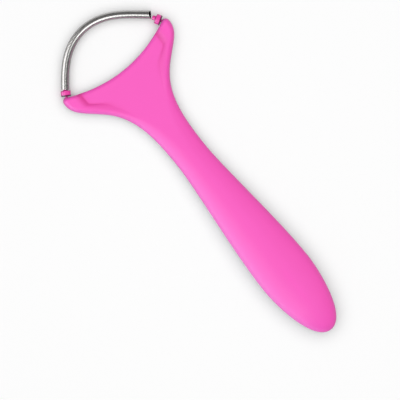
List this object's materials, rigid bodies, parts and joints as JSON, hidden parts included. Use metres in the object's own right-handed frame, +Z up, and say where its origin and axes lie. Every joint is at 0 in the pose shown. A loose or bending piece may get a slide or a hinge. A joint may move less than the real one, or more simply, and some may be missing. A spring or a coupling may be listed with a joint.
{
  "type": "facial hair removal spring",
  "caption": "Hand tool with a long soft-touch grip that flares into a two-armed head, where a bowed coil spring stands between two end plugs to pluck facial hair.",
  "frame": {"origin": "middle of the tool's outline, on the level that its underside rests on", "axes": "+Y along the handle's axis towards the spring, +X towards the right arm, +Z up from the underside"},
  "size_m": [0.0632, 0.1848, 0.012],
  "materials": {
    "handle": "soft-touch pink moulding, satin",
    "spring": "bright drawn steel wire",
    "end_plug": "pink moulded plastic, satin"
  },
  "bodies": {
    "root": {"handle": "handle", "spring": "spring"},
    "left_plug": {"left_end_plug": "end_plug"},
    "right_plug": {"right_end_plug": "end_plug"}
  },
  "joints": [
    {"name": "left_plug_spin", "type": "hinge", "parent": "root", "child": "left_plug", "pos_m": [-0.02896, 0.07009, 0.0033], "axis": [0.515, 0.8572, 0], "continuous": true},
    {"name": "right_plug_spin", "type": "hinge", "parent": "root", "child": "right_plug", "pos_m": [0.02896, 0.07009, 0.0033], "axis": [-0.515, 0.8572, 0], "continuous": true}
  ],
  "couplings": [
    {"joint": "right_plug_spin", "follows": "left_plug_spin", "ratio": -1}
  ]
}
